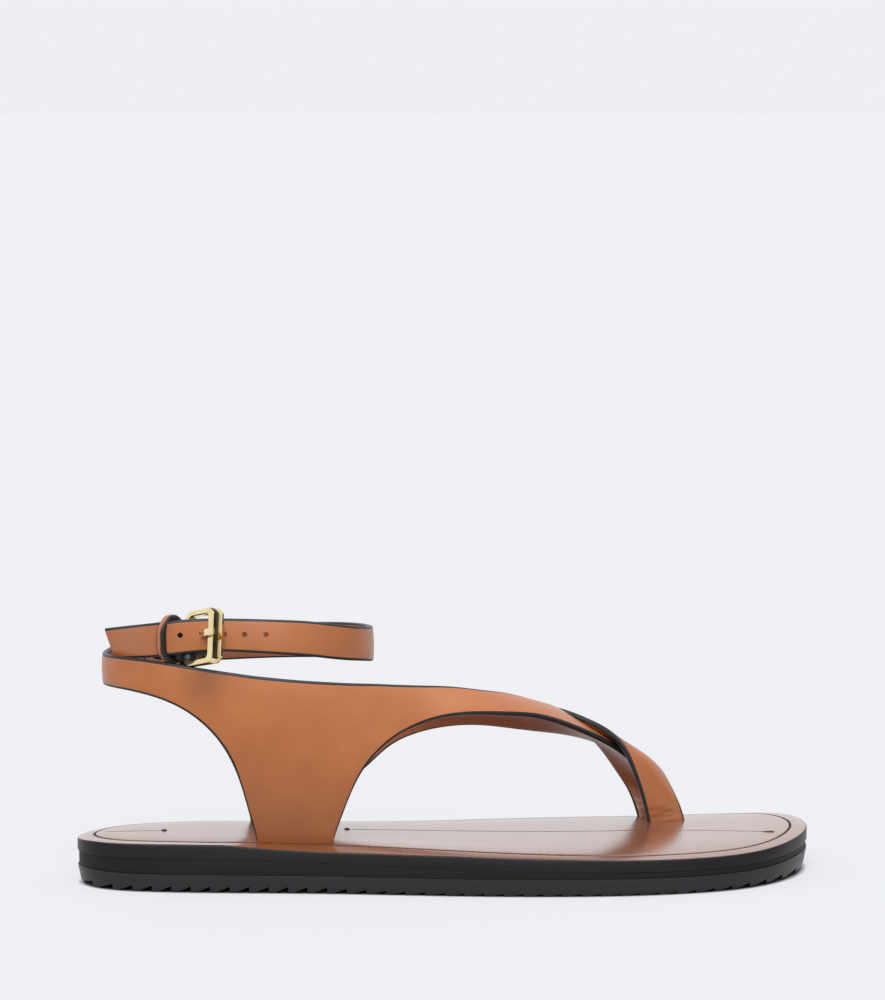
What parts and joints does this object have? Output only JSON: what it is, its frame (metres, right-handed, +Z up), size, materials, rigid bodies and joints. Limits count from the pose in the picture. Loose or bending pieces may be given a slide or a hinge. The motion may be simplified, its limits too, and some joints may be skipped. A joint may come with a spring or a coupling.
{
  "type": "flat sandal",
  "caption": "Flat leather sandal with a crossed toe loop, side panels, a buckled ankle strap, a padded footbed and a layered rubber sole with ripple tread.",
  "frame": {"origin": "middle of the object's box in plan, on the floor plane under the sole", "axes": "+X from heel to toe, +Y to the inner (medial) side of the right foot, +Z up"},
  "size_m": [0.2581, 0.0927, 0.0998],
  "materials": {
    "grey_rubber": "matt dark grey moulded rubber",
    "black_rubber": "satin black rubber",
    "edge_rubber": "satin dark grey painted edge",
    "footbed_leather": "smooth semi-gloss tan leather",
    "tan_leather": "smooth satin tan leather with dark painted edges",
    "keeper_leather": "smooth satin tan leather with dark painted edges",
    "pale_gold": "polished pale gold plating",
    "prong_gold": "polished pale gold plating"
  },
  "bodies": {
    "root": {"outsole": "grey_rubber", "midsole_wedge": "black_rubber", "midsole": "edge_rubber", "insole": "footbed_leather", "upper": "tan_leather", "keeper": "keeper_leather", "buckle_frame": "pale_gold", "buckle_prong": "prong_gold"}
  },
  "joints": []
}
